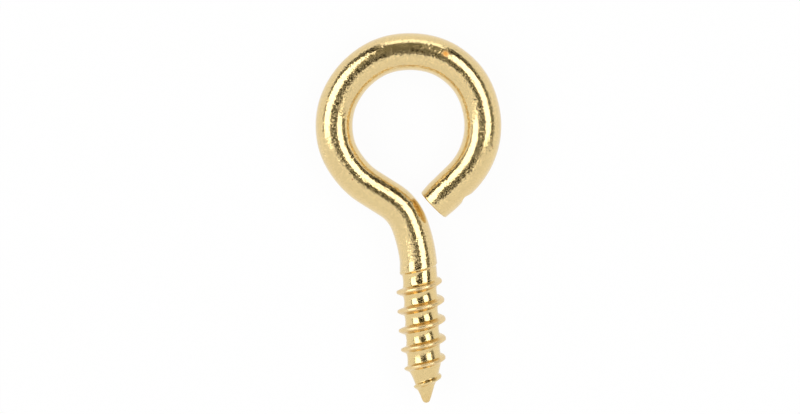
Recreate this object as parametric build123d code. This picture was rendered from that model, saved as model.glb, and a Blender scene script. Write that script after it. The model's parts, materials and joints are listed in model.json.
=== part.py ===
from build123d import *
import os
from math import atan2, cos, degrees, radians, sin, tan

# Screw eye: one length of steel wire, bent at one end into an almost closed eye and rolled at the
# other into a wood-screw thread with a cone point. It is one solid. Millimetres.
#
# It is drawn standing on its point, with the shank on Z and the eye in the XZ plane, and laid
# down at the end: the eye flat, the point towards -Y and the eye towards +Y.

# Wire and eye
WIRE_DIAMETER = 4.0
EYE_INNER_DIAMETER = 12.0
EYE_OFFSET = 0.22             # centre of the eye, to the -X side of the shank's axis
EYE_END_ANGLE = 49.0          # where the eye's round part stops, below the +X side, degrees

# Free end of the wire, a straight run that is sheared off close to the neck
FREE_END_LENGTH = 4.1
FREE_END_TAPER_LENGTH = 1.5   # the last stretch, squeezed by the shear
FREE_END_DIAMETER = 3.8
FREE_END_CHAMFER = 0.2
NIP_DEPTH = 0.3               # mark left across the wire's outer side by the bending tool
NIP_RADIUS = 1.5
NIP_POSITION = 1.0            # from the end of the round part

# Neck, two bends and a straight run between the shank and the eye
PLAIN_LENGTH = 0.9            # straight wire above the thread
NECK_LOWER_RADIUS = 12.0
NECK_UPPER_RADIUS = 5.6
NECK_LOWER_TURN = 20.0        # degrees, from the shank's axis
NECK_LEAN = 54.5              # degrees, where the wire runs into the eye

# Rolled thread, right-hand
THREAD_LENGTH = 14.3
PITCH = 2.08
ROOT_DEPTH = 0.22             # root, below the wire's surface
CREST_RISE = 0.55             # crest, above the wire's surface
RIDGE_BASE_WIDTH = 1.05
RUN_IN_TURNS = 1.5            # the ridge grows from the wire's surface to its full height
FULL_TURNS = 2.0              # at full height, then it drops towards the point
CREST_DROP = 0.31             # by the top of the point
RUN_OUT_TURNS = 0.35          # the root groove rises to the wire's surface behind the shoulder

# Point
POINT_ANGLE = 41.2            # full angle of the cone, degrees
TIP_DIAMETER = 0.75           # where the blunted tip meets the cone
TIP_HEIGHT = 0.26
TIP_FLAT_DIAMETER = 0.32
POINT_RIDGE_TURNS = 1.0       # the ridge follows the cone for this long
POINT_RIDGE_HEIGHT = 0.42     # where it starts to fade
FADE_TURNS = 0.25
ROOT_SINK = 0.35              # the ridge starts this far inside the core, to join it

wire_radius = WIRE_DIAMETER / 2
eye_radius = (EYE_INNER_DIAMETER + WIRE_DIAMETER) / 2
core_radius = wire_radius - ROOT_DEPTH
crest_radius = wire_radius + CREST_RISE
shank_length = THREAD_LENGTH + PLAIN_LENGTH


def polar(radius, angle):
    """A point in the XZ plane, as (x, z), at an angle from +X towards +Z, in degrees."""
    return Vector(radius * cos(radians(angle)), radius * sin(radians(angle)))


def on_eye_plane(point):
    """The point (x, z) of the eye's plane in space."""
    return Vector(point.X, 0, point.Y)


# ---- Centreline of the wire, from the shank round to the end of the eye ----

# The straight run of the neck is as long as it takes for the bends to end on the shank's axis.
lower_centre = Vector(-NECK_LOWER_RADIUS, shank_length)
bends_meet = lower_centre + polar(NECK_LOWER_RADIUS, NECK_LOWER_TURN)
upper_centre = bends_meet - polar(NECK_UPPER_RADIUS, NECK_LOWER_TURN)
run_start = upper_centre + polar(NECK_UPPER_RADIUS, NECK_LEAN)
eye_start_x = -EYE_OFFSET - eye_radius * cos(radians(NECK_LEAN))
run_length = (run_start.X - eye_start_x) / sin(radians(NECK_LEAN))
run_end = run_start + polar(run_length, NECK_LEAN + 90)
eye_centre = run_end + polar(eye_radius, NECK_LEAN)


def arc(centre, radius, start_angle, end_angle):
    """An arc in the eye's plane between two angles about its centre."""
    middle_angle = (start_angle + end_angle) / 2
    angles = (start_angle, middle_angle, end_angle)
    return ThreePointArc(*[on_eye_plane(centre + polar(radius, angle)) for angle in angles])


def wire_body():
    """The round wire of the neck and the eye, swept along its tangent bends."""
    path = Wire([
        arc(lower_centre, NECK_LOWER_RADIUS, 0, NECK_LOWER_TURN),
        arc(upper_centre, NECK_UPPER_RADIUS, NECK_LOWER_TURN, NECK_LEAN),
        Line(on_eye_plane(run_start), on_eye_plane(run_end)),
        arc(eye_centre, eye_radius, 180 + NECK_LEAN, -EYE_END_ANGLE),
    ])
    section = Plane(origin=(0, 0, shank_length), z_dir=(0, 0, 1)) * Circle(wire_radius)
    return sweep(section, path=path)


def free_end():
    """The straight end of the wire, squeezed and sheared, with the bending tool's nip across it."""
    end_radius = FREE_END_DIAMETER / 2
    taper_start = FREE_END_LENGTH - FREE_END_TAPER_LENGTH
    # Half section in the XZ plane: the wire's axis is Z.
    half_section = Polyline(
        (0, 0),
        (wire_radius, 0),
        (wire_radius, taper_start),
        (end_radius, FREE_END_LENGTH),
        (0, FREE_END_LENGTH),
        close=True,
    )
    stub = revolve(Plane.XZ * make_face(half_section), axis=Axis.Z)
    rim = stub.edges().filter_by(GeomType.CIRCLE).sort_by(Axis.Z)[-1]
    stub = chamfer(rim, FREE_END_CHAMFER)
    nip_centre = wire_radius - NIP_DEPTH + NIP_RADIUS
    nip = Pos(nip_centre, 0, NIP_POSITION) * Rot(90, 0, 0) * Cylinder(NIP_RADIUS, 2 * WIRE_DIAMETER)
    stub = stub - nip
    outward = on_eye_plane(polar(1, -EYE_END_ANGLE))
    onward = on_eye_plane(polar(1, -EYE_END_ANGLE - 90))
    end_of_round = on_eye_plane(eye_centre + polar(eye_radius, -EYE_END_ANGLE))
    return Plane(origin=end_of_round, x_dir=outward, z_dir=onward) * stub


# ---- Point and core of the thread ----

half_point = radians(POINT_ANGLE / 2)
point_length = TIP_HEIGHT + (core_radius - TIP_DIAMETER / 2) / tan(half_point)


def cone_radius(height):
    """The radius of the cone point at a height above its tip."""
    return TIP_DIAMETER / 2 + (height - TIP_HEIGHT) * tan(half_point)


def core_body():
    """The thread's core: a cylinder that ends in a cone with a blunted tip."""
    # Half section in the XZ plane: the shank's axis is Z.
    half_section = Polyline(
        (0, 0),
        (TIP_FLAT_DIAMETER / 2, 0),
        (TIP_DIAMETER / 2, TIP_HEIGHT),
        (core_radius, point_length),
        (core_radius, shank_length),
        (0, shank_length),
        close=True,
    )
    return revolve(Plane.XZ * make_face(half_section), axis=Axis.Z)


# ---- Helical ridge and shoulder ----

# The ridge's middle crosses the +X side one turn up at this height: its lower flank there and in
# front is the shoulder where the wire keeps its full diameter.
top_height = THREAD_LENGTH + RIDGE_BASE_WIDTH / 2 + PITCH / 4
full_height_start = top_height - RUN_IN_TURNS * PITCH
drop_start = full_height_start - FULL_TURNS * PITCH
ridge_end = point_length - POINT_RIDGE_TURNS * PITCH
fade_end = ridge_end - FADE_TURNS * PITCH


def helix(stations, shift, radii):
    """A right-hand helix between two heights of the ridge's middle, moved along Z by a shift,
    with its own radius at each end. It crosses the +X side at the top height."""
    low, high = stations
    rise = high - low
    slope = atan2(radii[1] - radii[0], rise)
    edge = Edge.make_helix(PITCH / cos(slope), rise, radii[0], angle=degrees(slope))
    turned = 360 * (low - top_height) / PITCH
    return Pos(0, 0, low + shift) * Rot(0, 0, turned) * edge


def helical_solid(stations, sections):
    """A solid ruled between helices. Each station is a height on the helix, from the lowest up,
    and has a section: the same number of corners, each a radius and a shift along the axis."""
    faces = []
    corners = len(sections[0])
    for lower in range(len(stations) - 1):
        span = stations[lower:lower + 2]
        edges = []
        for corner in range(corners):
            radii = (sections[lower][corner][0], sections[lower + 1][corner][0])
            edges.append(helix(span, sections[lower][corner][1], radii))
        for corner in range(corners):
            faces.append(Face.make_surface_from_curves(edges[corner - 1], edges[corner]))
    for station, section in ((stations[0], sections[0]), (stations[-1], sections[-1])):
        turned = 360 * (station - top_height) / PITCH
        points = [Rot(0, 0, turned) * Pos(radius, 0, station + shift) for radius, shift in section]
        faces.append(Face(Wire.make_polygon([point.position for point in points], close=True)))
    return Solid(Shell(faces))


def ridge_body():
    """The thread's sharp ridge, from the tip up to where it merges with the wire."""
    flank = RIDGE_BASE_WIDTH / 2 / (crest_radius - core_radius)
    half_base = RIDGE_BASE_WIDTH / 2 + ROOT_SINK * flank
    root = core_radius - ROOT_SINK
    crests = [
        (fade_end, cone_radius(fade_end) - ROOT_SINK, cone_radius(fade_end) - ROOT_SINK / 3),
        (ridge_end, cone_radius(ridge_end) - ROOT_SINK, cone_radius(ridge_end) + POINT_RIDGE_HEIGHT),
        (point_length, root, crest_radius - CREST_DROP),
        (drop_start, root, crest_radius),
        (full_height_start, root, crest_radius),
        (top_height, root, wire_radius),
    ]
    stations = [height for height, _, _ in crests]
    sections = []
    for _, root_radius, top_radius in crests:
        sections.append([(root_radius, -half_base), (top_radius, 0), (root_radius, half_base)])
    return helical_solid(stations, sections)


def shoulder_body():
    """The full wire above the ridge: its lower edge follows the ridge's middle for one turn, and
    the root groove rises out of it over the first part of that turn."""
    bottom = top_height - PITCH
    stations = [bottom, bottom + RUN_OUT_TURNS * PITCH, top_height]
    inner = core_radius - ROOT_SINK
    sections = []
    for outer in (core_radius - ROOT_DEPTH / 2, wire_radius, wire_radius):
        sections.append([(inner, 0), (outer, 0), (outer, PITCH), (inner, PITCH)])
    band = helical_solid(stations, sections)
    below_neck = Pos(0, 0, shank_length / 2) * Cylinder(2 * crest_radius, shank_length)
    return band & below_neck


standing = core_body() + ridge_body() + shoulder_body() + wire_body() + free_end()

# ---- Laid down, on its lowest crest, centred on the floor ----

laid = Rot(-90, 0, 0) * standing
box = laid.bounding_box()
on_floor = Pos(-box.center().X, -box.center().Y, -box.min.Z)
screw_eye = on_floor * laid

os.makedirs("parts", exist_ok=True)
export_step(screw_eye, "parts/screw_eye.step")

eye_place = on_floor * Pos(eye_centre.X, eye_centre.Y, 0)
shoulder_place = on_floor * Pos(0, THREAD_LENGTH, 0)
print("solids", len(screw_eye.solids()), "volume", round(screw_eye.volume, 2))
print("size", [round(length, 3) for length in box.size])
print("eye centre", [round(value, 3) for value in eye_place.position])
print("thread's shoulder", [round(value, 3) for value in shoulder_place.position])
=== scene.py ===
import json
import math

import bpy
import numpy as np
from mathutils import Matrix, Vector


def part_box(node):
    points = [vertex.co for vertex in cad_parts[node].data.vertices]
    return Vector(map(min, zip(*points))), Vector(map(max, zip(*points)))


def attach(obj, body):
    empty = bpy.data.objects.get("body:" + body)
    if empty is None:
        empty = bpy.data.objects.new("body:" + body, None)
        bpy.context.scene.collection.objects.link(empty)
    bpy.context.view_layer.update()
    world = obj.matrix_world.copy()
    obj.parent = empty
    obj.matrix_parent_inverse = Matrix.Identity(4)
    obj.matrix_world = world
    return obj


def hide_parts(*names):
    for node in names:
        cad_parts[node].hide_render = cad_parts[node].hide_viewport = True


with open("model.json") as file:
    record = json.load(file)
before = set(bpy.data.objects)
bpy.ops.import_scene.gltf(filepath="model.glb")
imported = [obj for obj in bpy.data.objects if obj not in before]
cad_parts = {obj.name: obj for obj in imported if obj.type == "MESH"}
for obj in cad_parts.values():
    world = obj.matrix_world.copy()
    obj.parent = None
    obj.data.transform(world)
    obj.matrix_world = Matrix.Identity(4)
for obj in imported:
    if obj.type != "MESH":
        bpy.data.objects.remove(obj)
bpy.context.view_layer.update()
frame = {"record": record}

# A screw eye: one length of brass-plated steel wire with a rolled wood-screw thread, lying on a
# white table. Sizes are millimetres until the mesh is made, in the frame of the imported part:
# +Y from the point to the eye, +Z up. Blender's own units are metres.

MM = 0.001
node_low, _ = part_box("screw_eye")
mounts = {mount["name"]: mount for mount in frame["record"]["mounts"]}

# ---- Sizes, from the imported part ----

eye_centre = Vector(mounts["eye"]["pos_m"]) / MM
shoulder = Vector(mounts["thread"]["pos_m"]) / MM
wire_radius = mounts["eye"]["dims"]["length_mm"] / 2
eye_radius = mounts["eye"]["dims"]["r_mm"] + wire_radius
crest_radius = mounts["thread"]["dims"]["r_mm"]
thread_length = mounts["thread"]["dims"]["length_mm"]
tip_y = (node_low / MM).y

# Bends of the wire
PLAIN_LENGTH = 0.9            # straight wire above the thread
NECK_LOWER_RADIUS = 12.0
NECK_UPPER_RADIUS = 5.6
NECK_LOWER_TURN = 20.0        # degrees
NECK_LEAN = 54.5              # degrees, where the wire runs into the eye
EYE_END_ANGLE = 49.0          # where the eye's round part stops, below the +X side, degrees

# Free end
FREE_END_LENGTH = 4.1
TAPER_LENGTH = 1.5            # the last stretch, squeezed by the shear
TAPER_DEPTH = 0.1
CUT_EDGE_RADIUS = 0.2
NIP_DEPTH = 0.3               # mark left across the wire's outer side by the bending tool
NIP_HALF_LENGTH = 0.95
NIP_POSITION = 1.0            # from the end of the eye's round part
LEAST_REACH = 0.01            # of an angle towards the nip, so that nothing is divided by 0

# Flats inside the eye, above and below, where the grooved bending pin held the wire
PIN_FLAT_ANGLE = math.radians(42)
PIN_FLAT_REACH = math.radians(5.5)
PIN_FLAT_FADE = 2.0

# Rolled thread, right-hand
PITCH = 2.08
ROOT_DEPTH = 0.22             # root, below the wire's surface
RIDGE_ABOVE_SHOULDER = 0.39   # the middle of the ridge, where the thread's length is taken
UPPER_FLANK = 0.44            # from the middle of the ridge to its foot, towards the eye
LOWER_FLANK = 0.5             # and towards the point
LEAST_WIDTH = 0.4             # share of the ridge's width that is left where it has no height
CREST_HALF_WIDTH = 0.08       # of the flat that the rolling dies leave on the crest
CREST_ROUNDING = 0.06         # radius
CREST_RAGGEDNESS = 0.02
RAGGED_WAVES = (3.7, 8.3)     # in a turn, of the two waves that make it up
ROOT_HOLLOW = 0.25            # how much the hollow root would rise by the middle of the ridge
ROOT_FILLET = 0.05            # how softly the flanks leave the root
SHOULDER_BULGE = 0.06         # metal pushed up above the thread
BULGE_FULL = 0.9              # it is whole this far below the ridge's top end
BULGE_GONE = 0.3              # and has run out this far above it
SHOULDER_DROP = 0.1           # how far the full wire reaches below the middle of the ridge
SHOULDER_STEP = 0.3           # height over which it falls to the root
LAST_RISE_SINK = 0.1          # the ridge ends this far under the wire's surface
RUN_IN_TURNS = 1.5            # the ridge grows from the wire's surface to its full height
FULL_TURNS = 2.0              # at full height, then it drops towards the point
CREST_DROP = 0.28             # by the top of the point
RUN_OUT_TURNS = 0.35          # half of the stretch in which a groove fills up to the full wire

# Point
HALF_POINT_ANGLE = 20.6       # degrees
TIP_RADIUS = 0.4
POINT_RIDGE_TURNS = 1.0       # the ridge follows the cone for this long
POINT_RIDGE_HEIGHT = 0.42     # where it starts to fade
FADE_TURNS = 0.25
POINT_BLEND = 0.1             # how softly the cone runs into the core

# Mesh
COLUMNS = 128                 # around the wire
TIP_ROWS = 6
FIRST_TIP_ANGLE = 0.1         # of the lowest row on the rounded tip, radians
THREAD_STEP = 0.04            # between rows
THREAD_ROWS_REACH = 0.5       # above the ridge's top end
THREAD_REACH = 0.4            # above the ridge's top end, from where on the wire is plain
PLAIN_ROWS = 110
END_STEP = 0.1
END_GAP = 0.2                 # between the last plain row and the end of the eye's round part
EDGE_ROWS = 6                 # on the rounded edge of the cut
CUT_RINGS = (0.75, 0.5, 0.25)  # on the cut itself, as shares of its radius

core_radius = wire_radius - ROOT_DEPTH
shank_length = thread_length + PLAIN_LENGTH


def smooth_step(low, high, value):
    """A smooth rise from 0 to 1 while the value goes from low to high."""
    share = np.clip((value - low) / (high - low), 0, 1)
    return share * share * (3 - 2 * share)


# ---- Centreline ----

def neck_run_length():
    """The straight run that puts the eye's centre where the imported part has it."""
    lower, lean = math.radians(NECK_LOWER_TURN), math.radians(NECK_LEAN)
    x = shoulder.x - NECK_LOWER_RADIUS * (1 - math.cos(lower))
    x -= NECK_UPPER_RADIUS * (math.cos(lower) - math.cos(lean))
    return (x + eye_radius * math.cos(lean) - eye_centre.x) / math.sin(lean)


def bend(radius, degrees):
    """The length of a bend, and how much it turns to the left, in radians."""
    return radius * math.radians(abs(degrees)), math.radians(degrees)


eye_bend = bend(eye_radius, -(180 + NECK_LEAN + EYE_END_ANGLE))

# The stretches of the wire from the point on: the length of each, and its turn to the left.
wire_runs = [
    (shank_length, 0),
    bend(NECK_LOWER_RADIUS, NECK_LOWER_TURN),
    bend(NECK_UPPER_RADIUS, NECK_LEAN - NECK_LOWER_TURN),
    (neck_run_length(), 0),
    eye_bend,
    (FREE_END_LENGTH, 0),
]
wire_length = sum(length for length, _ in wire_runs)
end_of_round = wire_length - FREE_END_LENGTH
eye_start = end_of_round - eye_bend[0]

# The wire is bent by hand and strays from that line: by so much more to its right, which is
# inside the eye, between two distances from the point. The thread is rolled off its middle.
THREAD_OFFSET = 0.05
STRAYING = (
    (14.3, 17.0, -0.05),
    (17.5, 22.5, 0.16),
    (28.0, 31.5, -0.12),
    (35.0, 38.5, 0.06),
    (40.0, 43.5, -0.07),
    (45.5, 50.5, -0.15),
    (53.0, 57.0, 0.12),
)


def on_centreline(distance):
    """The point of the wire's centreline at a distance from the tip, and its heading there."""
    astray = THREAD_OFFSET
    for start, end, change in STRAYING:
        astray += change * smooth_step(start, end, distance)
    x, y = shoulder.x, tip_y
    heading = math.pi / 2
    for length, turn in wire_runs:
        step = min(distance, length)
        angle = turn * step / length
        # The chord of an arc points half way through its turn.
        chord = 2 * step / angle * math.sin(angle / 2) if angle else step
        x += chord * math.cos(heading + angle / 2)
        y += chord * math.sin(heading + angle / 2)
        heading += angle
        distance -= step
        if distance <= 0:
            break
    return x + astray * math.sin(heading), y - astray * math.cos(heading), heading


# ---- Radius of the surface about the centreline ----

def smooth_max(one, other, softness):
    """The greater of two values, with the corner where they cross rounded off."""
    return (one + other + np.sqrt((one - other) ** 2 + softness ** 2)) / 2


half_point = math.radians(HALF_POINT_ANGLE)
cone_start = TIP_RADIUS * (1 - math.sin(half_point))
cone_start_radius = TIP_RADIUS * math.cos(half_point)
point_length = cone_start + (core_radius - cone_start_radius) / math.tan(half_point)

# Heights of the ridge's middle above the tip, from the top down. It ends on the right-hand side.
ridge_top = thread_length + RIDGE_ABOVE_SHOULDER + PITCH / 4
full_start = ridge_top - RUN_IN_TURNS * PITCH
drop_start = full_start - FULL_TURNS * PITCH
ridge_end = point_length - POINT_RIDGE_TURNS * PITCH
fade_end = ridge_end - FADE_TURNS * PITCH

full_rise = crest_radius - core_radius


def root_radius(height):
    """The rounded tip, the cone and the core, without the ridge."""
    cone = cone_start_radius + (height - cone_start) * math.tan(half_point)
    body = -smooth_max(-cone, -core_radius, POINT_BLEND)
    below_middle = TIP_RADIUS - np.minimum(height, cone_start)
    ball = np.sqrt(np.maximum(TIP_RADIUS ** 2 - below_middle ** 2, 0))
    return np.where(height < cone_start, ball, body)


def crest_rise(height):
    """How far the crest stands out of the root where the ridge's middle has this height."""
    last_rise = wire_radius - core_radius - LAST_RISE_SINK
    heights = (fade_end, ridge_end, point_length, drop_start)
    rises = (0, POINT_RIDGE_HEIGHT, full_rise - CREST_DROP, full_rise)
    run_in = (full_rise - last_rise) * smooth_step(full_start, ridge_top, height)
    turned = 2 * math.pi * height / PITCH
    ragged = CREST_RAGGEDNESS * np.sin(RAGGED_WAVES[0] * turned) * np.sin(RAGGED_WAVES[1] * turned)
    return np.interp(height, heights, rises) - run_in + ragged


def ridge_profile(rise, off_middle):
    """The ridge's height over the root: a flat crest with rounded edges between two flanks. It
    falls below 0 beyond its foot, and a low ridge is narrower than a full one."""
    width = LEAST_WIDTH + (1 - LEAST_WIDTH) * np.clip(rise / full_rise, 0, 1)
    foot = np.where(off_middle > 0, UPPER_FLANK, LOWER_FLANK) - CREST_HALF_WIDTH
    off_crest = np.maximum(np.abs(off_middle) - CREST_HALF_WIDTH * width, 0)
    rounding = CREST_ROUNDING * width
    slope_squared = rise ** 2 / ((foot * width) ** 2 - 2 * rounding * rise)
    softness = rounding * slope_squared
    return rise + softness - np.sqrt(slope_squared * off_crest ** 2 + softness ** 2)


def thread_radius(height, around):
    """The shank's surface. height is in millimetres and around in turns, both as arrays: around
    is 0 on the right-hand side and grows over the underside, so the top side is from -0.5 to 0."""
    up_helix = (height - ridge_top) / PITCH - around
    turn = np.minimum(np.round(up_helix), 0)
    off_middle = (up_helix - turn) * PITCH
    rise = crest_rise(height - off_middle)
    ridge = ridge_profile(rise, off_middle)
    # The ground between the turns of the ridge is hollow, and rises towards a high ridge.
    ground = ROOT_HOLLOW * np.clip(1 - np.abs(off_middle) / (PITCH / 2), 0, 1) ** 2
    ground = ground * np.clip(rise / full_rise, 0, 1)
    # The grooves above the ridge's last turns fill up to the full wire, each with a lower edge
    # that follows the middle of the ridge.
    run_out = smooth_step(ridge_top - BULGE_FULL, ridge_top + BULGE_GONE, height)
    bulge = SHOULDER_BULGE * (1 - run_out)
    full_wire = wire_radius + bulge - core_radius
    for turn_up in (-1, 0, 1):
        over_edge = (up_helix - turn_up) * PITCH + SHOULDER_DROP
        bank = full_wire * smooth_step(-SHOULDER_STEP, 0, over_edge)
        filled = smooth_step(-RUN_OUT_TURNS, RUN_OUT_TURNS, around + 1 + turn_up)
        ground = np.maximum(ground, bank * filled)
    return root_radius(height) + smooth_max(ridge, ground, ROOT_FILLET)


def wire_surface(distance, angle):
    """The round wire from the neck on, with the nip, the squeezed end and the narrow flats that
    the grooved bending pin leaves inside the eye. angle is 0 on the right-hand side of the
    centreline, which is inside the eye, and a quarter turn on top."""
    on_end = distance - end_of_round
    taper = TAPER_DEPTH * smooth_step(FREE_END_LENGTH - TAPER_LENGTH, FREE_END_LENGTH, on_end)
    radius = wire_radius - taper + 0 * angle
    off_flat = np.abs(np.abs(angle - np.where(angle > math.pi, 2 * math.pi, 0)) - PIN_FLAT_ANGLE)
    flat = np.minimum(radius, wire_radius * math.cos(PIN_FLAT_REACH) / np.cos(off_flat))
    in_eye = smooth_step(eye_start - PIN_FLAT_FADE, eye_start + PIN_FLAT_FADE, distance)
    radius = np.where(off_flat < PIN_FLAT_REACH, radius + (flat - radius) * in_eye, radius)
    # The nip is a flat-bottomed groove across the wire's outer side, the left of the centreline.
    along = np.clip(1 - np.abs(on_end - NIP_POSITION) / NIP_HALF_LENGTH, 0, 1)
    depth = NIP_DEPTH * smooth_step(0, 1, along)
    reach = -np.cos(angle)
    plane = (wire_radius - depth) / np.maximum(reach, LEAST_REACH)
    return np.minimum(radius, plane)


# ---- Mesh ----

def row_distances():
    """Where the rings of vertices stand along the centreline."""
    tip_angles = np.linspace(FIRST_TIP_ANGLE, math.pi / 2 - half_point, TIP_ROWS)
    tip = TIP_RADIUS * (1 - np.cos(tip_angles))
    thread = np.arange(cone_start + THREAD_STEP, ridge_top + THREAD_ROWS_REACH, THREAD_STEP)
    plain = np.linspace(thread[-1] + THREAD_STEP, end_of_round - END_GAP, PLAIN_ROWS)
    end_rows = round((wire_length - CUT_EDGE_RADIUS - end_of_round) / END_STEP)
    end = np.linspace(end_of_round, wire_length - CUT_EDGE_RADIUS, end_rows)
    return np.concatenate([tip, thread, plain, end])


def ring_points(distance, radius, angles):
    """A ring of points round the centreline."""
    x, y, heading = on_centreline(distance)
    right = radius * np.cos(angles)
    return np.column_stack([
        x + right * math.sin(heading),
        y - right * math.cos(heading),
        eye_centre.z + radius * np.sin(angles),
    ])


def surface_rows():
    """Rings of (x, y, z) points, from the tip to the cut end."""
    angles = np.linspace(0, 2 * math.pi, COLUMNS, endpoint=False)
    # The thread's own angle grows the other way round: it is -1/4 on top and 0 on the right.
    around = -(angles / (2 * math.pi))
    rows = []
    for distance in row_distances():
        if distance < ridge_top + THREAD_REACH:
            radius = thread_radius(np.full(COLUMNS, distance), around)
        else:
            radius = wire_surface(distance, angles)
        rows.append(ring_points(distance, radius, angles))
    last = wire_surface(wire_length, angles)
    for turn in np.linspace(0, math.pi / 2, EDGE_ROWS)[1:]:
        distance = wire_length - CUT_EDGE_RADIUS * (1 - math.sin(turn))
        radius = last - CUT_EDGE_RADIUS * (1 - math.cos(turn))
        rows.append(ring_points(distance, radius, angles))
    for share in CUT_RINGS:
        rows.append(ring_points(wire_length, (last - CUT_EDGE_RADIUS) * share, angles))
    return rows


def make_screw_eye():
    """One closed mesh: a fan of triangles at the tip, bands of four-sided faces between the rings,
    and a fan on the cut end."""
    rows = surface_rows()
    x, y, _ = on_centreline(0)
    tip = np.array([[x, y, eye_centre.z]])
    x, y, _ = on_centreline(wire_length)
    end = np.array([[x, y, eye_centre.z]])
    points = np.concatenate([tip, *rows, end]) * MM
    faces = []
    last_ring = 1 + (len(rows) - 1) * COLUMNS
    last_point = len(points) - 1
    for column in range(COLUMNS):
        beside = (column + 1) % COLUMNS
        faces.append((0, 1 + beside, 1 + column))
        faces.append((last_point, last_ring + column, last_ring + beside))
        for low in range(1, last_ring, COLUMNS):
            high = low + COLUMNS
            faces.append((low + column, low + beside, high + beside, high + column))
    mesh = bpy.data.meshes.new("brass_screw_eye")
    mesh.from_pydata(points.tolist(), [], faces)
    mesh.polygons.foreach_set("use_smooth", [True] * len(mesh.polygons))
    mesh.update()
    piece = bpy.data.objects.new("brass_screw_eye", mesh)
    bpy.context.scene.collection.objects.link(piece)
    return piece


# ---- Materials ----

def linear(hex_colour):
    """An sRGB hex colour as the linear values that Blender's sockets take."""
    channels = [int(hex_colour[start:start + 2], 16) / 255 for start in (1, 3, 5)]
    curve = [c / 12.92 if c <= 0.04045 else ((c + 0.055) / 1.055) ** 2.4 for c in channels]
    return (*curve, 1)


def add_node(tree, kind, settings=None, links=None):
    """Add a node: settings are its properties or input values, links are (input, socket)."""
    node = tree.nodes.new(kind)
    for name, value in (settings or {}).items():
        if isinstance(name, int) or name in node.inputs:
            node.inputs[name].default_value = value
        else:
            setattr(node, name, value)
    for name, socket in (links or {}).items():
        tree.links.new(socket, node.inputs[name])
    return node


def new_material(name):
    """A material without nodes, and its tree."""
    material = bpy.data.materials.new(name)
    material.use_nodes = True
    material.node_tree.nodes.clear()
    return material, material.node_tree


# Brass plate. A Mix node's two colours are its inputs 6 and 7, and its colour output is 2.
PLATE_COLOUR = "#E5CB91"
RIDGE_COLOUR = "#E9CF9A"

# Unevenness of the drawn wire under the plate. On the thread it is drawn out along the shank.
WAVE_LENGTH = 0.3
WAVE_HEIGHT = 0.005
WAVE_DETAIL = 2.0             # octaves
STREAK_STRETCH = 0.2
STREAK_HEIGHT = 2.0           # times the height of the waves

GRAIN_SIZE = 0.11             # crystals of the plate; finer in truth, this coarse so that they show
GRAIN_TILT = 0.37             # how askew they stand
THREAD_GRAIN_TILT = 0.12      # less on the thread, which the rolling dies have burnished
DARKEST_CRYSTAL = 0.92        # times the plate's colour
LIGHTEST_CRYSTAL = 1.08

# Spots in the plate's colour: degrees round the eye from its right-hand side, share of the wire's radius
# off its middle, radius in millimetres, colour. The first is a painted orange glint, a reflection put
# into the colour. The other two are specks where the plate is worn thin.
WORN_SPOTS_AND_GLINT = (
    # A painted orange glint: a reflection put into the plate's colour, and made satin.
    (60, 0.42, 0.5, "#F2AE5A"),
    (220, 0.1, 0.12, "#B8623A"),
    (-16.5, 0.63, 0.14, "#A87840"),
)
SPOT_CORE = 0.3            # share of a spot's radius in which its colour is at full strength

# Lacquer, as a share of a full coat: thicker on the wire than on the thread
WIRE_LACQUER = 0.6
THREAD_LACQUER = 0.1
LACQUER_ROUGHNESS = 0.06
THREAD_BLEND = 0.3            # either side of the shoulder, where wire turns to thread

# Roughness of the plate. It grows from the shoulder to the point, and the rubbed places and the spot of
# the painted glint are satin.
SHOULDER_ROUGHNESS = 0.1
POINT_ROUGHNESS = 0.22
POINT_HEIGHT = 3              # above the tip, where it is reached
RIDGE_SATIN = 0.2             # added to the roughness, as the next two are
TIP_SATIN = 0.35
WEAR_AND_GLINT_SATIN = 0.35
RIDGE_SATIN_START = 0.2       # above the root
RIDGE_SATIN_FULL = 0.45
TIP_SATIN_START = 1.6         # above the tip
TIP_SATIN_FULL = 0.6


def wire_waves(tree, place, thread):
    """The unevenness of the drawn wire, as a normal: soft waves, and streaks on the thread."""
    drawn_out = add_node(
        tree, "ShaderNodeVectorMath", {"operation": "MULTIPLY", 1: (1, STREAK_STRETCH, 1)}, {0: place},
    )
    uneven = {"Scale": 1 / (WAVE_LENGTH * MM), "Detail": WAVE_DETAIL}
    waves = add_node(tree, "ShaderNodeTexNoise", uneven, {"Vector": place})
    streaks = add_node(tree, "ShaderNodeTexNoise", uneven, {"Vector": drawn_out.outputs[0]})
    high_streaks = add_node(
        tree, "ShaderNodeMath", {"operation": "MULTIPLY", 1: STREAK_HEIGHT}, {0: streaks.outputs["Fac"]},
    )
    height = add_node(
        tree, "ShaderNodeMix", {"data_type": "FLOAT"},
        {0: thread, 2: waves.outputs["Fac"], 3: high_streaks.outputs[0]},
    )
    bump = add_node(
        tree, "ShaderNodeBump", {"Strength": 1.0, "Distance": WAVE_HEIGHT * MM},
        {"Height": height.outputs[0]},
    )
    return bump.outputs["Normal"]


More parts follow.
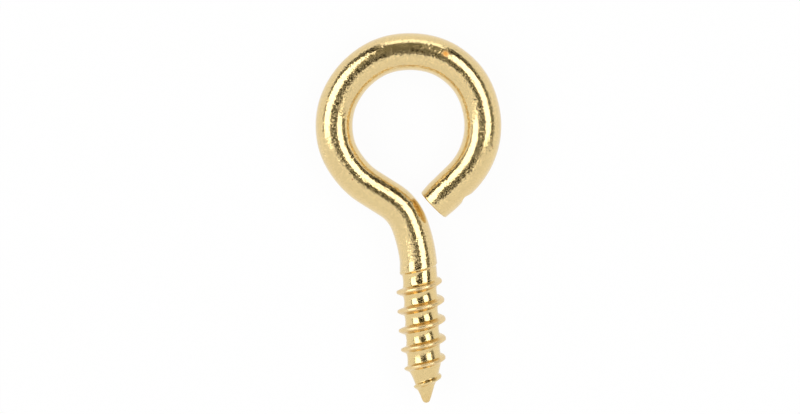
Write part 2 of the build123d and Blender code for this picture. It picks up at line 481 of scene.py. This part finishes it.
def plate_crystals(tree, place, thread, wire_normal):
    """The crystals of the plate, as a normal and a brightness. Each is a flat facet with its own
    tilt: most are nearly level and a few stand steep."""
    crystals = add_node(tree, "ShaderNodeTexVoronoi", {"Scale": 1 / (GRAIN_SIZE * MM)}, {"Vector": place})
    # Each crystal's random colour, taken from its middle value, is the way it leans.
    tilt = add_node(
        tree, "ShaderNodeVectorMath", {"operation": "SUBTRACT", 1: (0.5, 0.5, 0.5)},
        {0: crystals.outputs["Color"]},
    )
    # The slope is the tilt times the square of its own length, so that few crystals are steep.
    size = add_node(
        tree, "ShaderNodeVectorMath", {"operation": "DOT_PRODUCT"},
        {0: tilt.outputs[0], 1: tilt.outputs[0]},
    )
    share = add_node(
        tree, "ShaderNodeMapRange", {"To Min": GRAIN_TILT, "To Max": THREAD_GRAIN_TILT},
        {"Value": thread},
    )
    steepness = add_node(
        tree, "ShaderNodeMath", {"operation": "MULTIPLY"},
        {0: size.outputs["Value"], 1: share.outputs["Result"]},
    )
    from_middle = add_node(
        tree, "ShaderNodeVectorMath", {"operation": "SUBTRACT"},
        {0: place, 1: crystals.outputs["Position"]},
    )
    rise = add_node(
        tree, "ShaderNodeVectorMath", {"operation": "DOT_PRODUCT"},
        {0: from_middle.outputs[0], 1: tilt.outputs[0]},
    )
    height = add_node(
        tree, "ShaderNodeMath", {"operation": "MULTIPLY"},
        {0: rise.outputs["Value"], 1: steepness.outputs[0]},
    )
    facets = add_node(
        tree, "ShaderNodeBump", {"Strength": 1.0, "Distance": 1.0},
        {"Height": height.outputs[0], "Normal": wire_normal},
    )
    brightness = add_node(
        tree, "ShaderNodeMapRange", {"To Min": DARKEST_CRYSTAL, "To Max": LIGHTEST_CRYSTAL},
        {"Value": crystals.outputs["Color"]},
    )
    return facets.outputs["Normal"], brightness.outputs["Result"]


def worn_spots_and_glint(tree, place):
    """The plate's colour with its worn specks and its painted orange glint, and how strongly each spot
    shows, from 0 to 1.
    """
    # What the nodes of one spot hand on to those of the next, as links. The first spot starts
    # from the plain plate and from 0.
    colour_so_far = {}
    wear_and_glint_so_far = {}
    for around_eye, off_middle, radius, hex_colour in WORN_SPOTS_AND_GLINT:
        reach = eye_radius + wire_radius * off_middle
        turn = math.radians(around_eye)
        up = wire_radius * math.sqrt(1 - off_middle ** 2)
        spot = (eye_centre + Vector((reach * math.cos(turn), reach * math.sin(turn), up))) * MM
        apart = add_node(
            tree, "ShaderNodeVectorMath", {"operation": "DISTANCE", 1: spot}, {0: place},
        )
        in_spot = add_node(
            tree, "ShaderNodeMapRange", {"From Min": radius * MM, "From Max": SPOT_CORE * radius * MM},
            {"Value": apart.outputs["Value"]},
        ).outputs["Result"]
        colour = add_node(
            tree, "ShaderNodeMix",
            {"data_type": "RGBA", 6: linear(PLATE_COLOUR), 7: linear(hex_colour)},
            {0: in_spot, **colour_so_far},
        )
        wear_and_glint = add_node(
            tree, "ShaderNodeMath", {"operation": "MAXIMUM", 1: 0.0}, {0: in_spot, **wear_and_glint_so_far},
        )
        colour_so_far = {6: colour.outputs[2]}
        wear_and_glint_so_far = {1: wear_and_glint.outputs[0]}
    return colour.outputs[2], wear_and_glint.outputs[0]


def out_of_root(tree, place, thread):
    """Where the ridge stands out of the root, from 0 to 1, by the distance off the shank's axis."""
    across = add_node(tree, "ShaderNodeVectorMath", {"operation": "MULTIPLY", 1: (1, 0, 1)}, {0: place})
    axis = Vector((shoulder.x, 0, eye_centre.z)) * MM
    off_axis = add_node(
        tree, "ShaderNodeVectorMath", {"operation": "DISTANCE", 1: axis}, {0: across.outputs[0]},
    )
    high = add_node(
        tree, "ShaderNodeMapRange",
        {
            "From Min": (core_radius + RIDGE_SATIN_START) * MM,
            "From Max": (core_radius + RIDGE_SATIN_FULL) * MM,
        },
        {"Value": off_axis.outputs["Value"]},
    )
    ridge = add_node(
        tree, "ShaderNodeMath", {"operation": "MULTIPLY"}, {0: high.outputs["Result"], 1: thread},
    )
    return ridge.outputs[0]


def plate_roughness(tree, along, ridge, wear_and_glint):
    """Bright wire, a duller point, and satin on the ridge, on the tip, in the worn specks and in the spot
    of the painted glint.
    """
    roughness = add_node(
        tree, "ShaderNodeMapRange",
        {
            "From Min": shoulder.y * MM, "From Max": (tip_y + POINT_HEIGHT) * MM,
            "To Min": SHOULDER_ROUGHNESS, "To Max": POINT_ROUGHNESS,
        },
        {"Value": along},
    )
    tip = add_node(
        tree, "ShaderNodeMapRange",
        {"From Min": (tip_y + TIP_SATIN_START) * MM, "From Max": (tip_y + TIP_SATIN_FULL) * MM},
        {"Value": along},
    )
    satin_places = ((ridge, RIDGE_SATIN), (tip.outputs[0], TIP_SATIN), (wear_and_glint, WEAR_AND_GLINT_SATIN))
    for where, added in satin_places:
        roughness = add_node(
            tree, "ShaderNodeMath", {"operation": "MULTIPLY_ADD", 1: added},
            {0: where, 2: roughness.outputs[0]},
        )
    return roughness.outputs[0]


def bright_brass_plate():
    """Brass plate on drawn steel wire, under clear lacquer. It mirrors the studio in a pale gold,
    sparkles where single crystals stand askew, and turns whiter towards its edges."""
    material, tree = new_material("lacquered_brass_plate_on_drawn_steel")
    place = add_node(tree, "ShaderNodeTexCoord").outputs["Object"]
    along = add_node(tree, "ShaderNodeSeparateXYZ", {}, {0: place}).outputs["Y"]
    thread = add_node(
        tree, "ShaderNodeMapRange",
        {"From Min": (shoulder.y + THREAD_BLEND) * MM, "From Max": (shoulder.y - THREAD_BLEND) * MM},
        {"Value": along},
    ).outputs["Result"]
    wire_normal = wire_waves(tree, place, thread)
    normal, brightness = plate_crystals(tree, place, thread, wire_normal)
    # The worn specks, and a painted orange glint, go into the plate's colour.
    plate, wear_and_glint = worn_spots_and_glint(tree, place)
    ridge = out_of_root(tree, place, thread)
    # The dies have rubbed the ridge a little paler.
    colour = add_node(
        tree, "ShaderNodeMix", {"data_type": "RGBA", 7: linear(RIDGE_COLOUR)}, {0: ridge, 6: plate},
    )
    grained = add_node(
        tree, "ShaderNodeVectorMath", {"operation": "SCALE"},
        {0: colour.outputs[2], "Scale": brightness},
    )
    lacquer = add_node(
        tree, "ShaderNodeMapRange", {"To Min": WIRE_LACQUER, "To Max": THREAD_LACQUER},
        {"Value": thread},
    )
    shader = add_node(
        tree, "ShaderNodeBsdfPrincipled",
        {"Metallic": 1.0, "Coat Roughness": LACQUER_ROUGHNESS},
        {
            "Base Color": grained.outputs[0], "Roughness": plate_roughness(tree, along, ridge, wear_and_glint),
            "Coat Weight": lacquer.outputs["Result"], "Normal": normal,
        },
    )
    add_node(tree, "ShaderNodeOutputMaterial", links={"Surface": shader.outputs["BSDF"]})
    return material


screw_eye = make_screw_eye()
screw_eye.data.materials.append(bright_brass_plate())
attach(screw_eye, "root")
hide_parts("screw_eye")

# ---- Studio ----

VIEW_ROLL = math.radians(3.23)   # the eye leans to the left in the view
VIEW_TILT = math.radians(5.5)    # the camera stands a little to the eye's end
VIEW_DISTANCE = 1000.0
VIEW_WIDTH = 85.9
VIEW_X = -1.38                   # the middle of the view, from the eye's middle
VIEW_Y = -8.70
FLOOR_HALF_WIDTH = 1500
PAPER_GLARE = 0.95               # share of white light over the paper's own shade
GLARE_IN_METAL = 0.95            # how much of it the metal mirrors
ROOM_LIGHT = 0.95                # from all round, past the tent

# Positions round the object as the camera sees them: right, up and towards the camera.
view_frame = Matrix.Rotation(-VIEW_ROLL, 4, "Z")


def flat_sheet(name, points, material):
    """A flat stage piece with these corners, in millimetres in the view's frame."""
    mesh = bpy.data.meshes.new(name)
    corners = [tuple(view_frame @ point * MM) for point in points]
    mesh.from_pydata(corners, [], [tuple(range(len(corners)))])
    mesh.materials.append(material)
    sheet = bpy.data.objects.new(name, mesh)
    bpy.context.scene.collection.objects.link(sheet)
    return sheet


def white_paper():
    """Overexposed white paper: the camera sees it white, and metal nearly so, over its shadow."""
    material, tree = new_material("white_paper")
    paper = add_node(tree, "ShaderNodeBsdfDiffuse", {"Color": linear("#F4F4F4")})
    light = add_node(tree, "ShaderNodeEmission", {"Color": linear("#FFFFFF")})
    path = add_node(tree, "ShaderNodeLightPath").outputs
    metal = add_node(
        tree, "ShaderNodeMath", {"operation": "MULTIPLY", 1: GLARE_IN_METAL}, {0: path["Is Glossy Ray"]},
    )
    glass = add_node(
        tree, "ShaderNodeMath", {"operation": "MAXIMUM"},
        {0: metal.outputs[0], 1: path["Is Transmission Ray"]},
    )
    seen = add_node(
        tree, "ShaderNodeMath", {"operation": "MAXIMUM"}, {0: glass.outputs[0], 1: path["Is Camera Ray"]},
    )
    share = add_node(
        tree, "ShaderNodeMath", {"operation": "MULTIPLY", 1: PAPER_GLARE}, {0: seen.outputs[0]},
    )
    mix = add_node(
        tree, "ShaderNodeMixShader",
        links={0: share.outputs[0], 1: paper.outputs["BSDF"], 2: light.outputs["Emission"]},
    )
    add_node(tree, "ShaderNodeOutputMaterial", links={"Surface": mix.outputs["Shader"]})
    return material


def cloth(name, hex_colour):
    """Matt woven cloth, which the metal mirrors as an even dark field."""
    material, tree = new_material(name)
    weave = add_node(tree, "ShaderNodeBsdfDiffuse", {"Color": linear(hex_colour)})
    add_node(tree, "ShaderNodeOutputMaterial", links={"Surface": weave.outputs["BSDF"]})
    return material


def softbox_silk(radiance):
    """White silk lit from behind, which the metal mirrors as an even bright field."""
    material, tree = new_material("softbox_silk")
    silk = add_node(tree, "ShaderNodeEmission", {"Color": linear("#FFFFFF"), "Strength": radiance})
    add_node(tree, "ShaderNodeOutputMaterial", links={"Surface": silk.outputs["Emission"]})
    return material


floor_corners = [
    Vector((right * FLOOR_HALF_WIDTH, up * FLOOR_HALF_WIDTH, 0))
    for right, up in ((-1, -1), (1, -1), (1, 1), (-1, 1))
]
flat_sheet("paper_floor", floor_corners, white_paper())

# The tent over the table: a dark top with white sides, and under it black flags, a hood round the
# camera and softboxes. A lower sheet hides the higher ones. Each corner is the direction in which
# the eye's middle sees it: degrees round the view from its right-hand side, and degrees off the
# upright.
TOP_HEIGHT = 2400
FLAG_HEIGHT = 2000
SIDE_SOFTBOX_HEIGHT = 1600
TOP_SOFTBOX_HEIGHT = 1000

SIDE_SOFTBOX_LIGHT = 2.9
TOP_SOFTBOX_LIGHT = 1.8


def in_direction(clock, off_upright, height):
    """The place at a height over the eye's middle, in a direction from it."""
    reach = height * math.tan(math.radians(off_upright))
    turn = math.radians(clock)
    away = Vector((reach * math.cos(turn), reach * math.sin(turn), height))
    return view_frame.inverted() @ eye_centre + away


def tent_sheet(name, corners, height, material):
    """A flat sheet parallel to the floor, which the metal and the floor see and the camera not."""
    points = [in_direction(clock, off_upright, height) for clock, off_upright in corners]
    sheet = flat_sheet(name, points, material)
    sheet.visible_camera = False


dark_top = [
    (-17, 60), (-17, 73), (0, 74), (30, 77), (57, 88), (90, 80), (125, 87), (150, 83), (165, 75),
    (180, 72), (192, 71), (193, 28), (265, 9), (315, 17),
]
left_flag = [(116, 52), (116, 88), (130, 88.5), (148, 86.5), (160, 78), (160, 66), (135, 60)]
right_flag = [(15, 54), (15, 68), (30, 73), (45, 80), (60, 88), (60, 57), (30, 56)]
camera_hood = [
    (193, 24), (265, 9), (315, 17), (340, 22), (0, 24), (30, 24), (60, 20), (90, 18), (120, 20),
    (150, 24), (180, 26),
]
left_softbox = [
    (200, 30), (192, 63), (165, 65), (150, 68), (135, 61), (117, 53), (125, 45), (150, 29), (180, 28),
]
right_softbox = [(-30, 21), (-14, 51), (0, 51), (30, 55), (57, 57), (58, 27), (30, 23), (0, 20)]
top_softbox = [(63, 65), (110, 65), (110, 85), (66, 85)]

tent_sheet("dark_tent_top", dark_top, TOP_HEIGHT, cloth("dark_cloth", "#524E3A"))
black_cloth = cloth("black_cloth", "#1C1A12")
tent_sheet("left_black_flag", left_flag, FLAG_HEIGHT, black_cloth)
tent_sheet("right_black_flag", right_flag, FLAG_HEIGHT, black_cloth)
tent_sheet("camera_hood", camera_hood, FLAG_HEIGHT, cloth("hood_cloth", "#2C2818"))
tent_sheet("left_softbox", left_softbox, SIDE_SOFTBOX_HEIGHT, softbox_silk(SIDE_SOFTBOX_LIGHT))
tent_sheet("right_softbox", right_softbox, SIDE_SOFTBOX_HEIGHT, softbox_silk(SIDE_SOFTBOX_LIGHT))
tent_sheet("top_softbox", top_softbox, TOP_SOFTBOX_HEIGHT, softbox_silk(TOP_SOFTBOX_LIGHT))

world = bpy.data.worlds.new("studio")
bpy.context.scene.world = world
world.use_nodes = True
world.node_tree.nodes.clear()
background = add_node(
    world.node_tree, "ShaderNodeBackground", {"Color": linear("#FFFFFF"), "Strength": ROOM_LIGHT},
)
add_node(world.node_tree, "ShaderNodeOutputWorld", links={"Surface": background.outputs["Background"]})

camera = bpy.data.cameras.new("camera")
camera.sensor_width = 36.0
camera.lens = camera.sensor_width * VIEW_DISTANCE / VIEW_WIDTH
camera.clip_start = 0.01      # metres
camera.clip_end = 5.0
view = bpy.data.objects.new("camera", camera)
view_centre = Vector((eye_centre.x + VIEW_X, eye_centre.y + VIEW_Y, eye_centre.z))
tilted = view_frame @ Matrix.Rotation(-VIEW_TILT, 4, "X")
camera_place = (view_centre + tilted @ Vector((0, 0, VIEW_DISTANCE))) * MM
view.matrix_world = Matrix.Translation(camera_place) @ tilted
bpy.context.scene.collection.objects.link(view)
bpy.context.scene.camera = view

bpy.context.scene.view_settings.view_transform = "Standard"
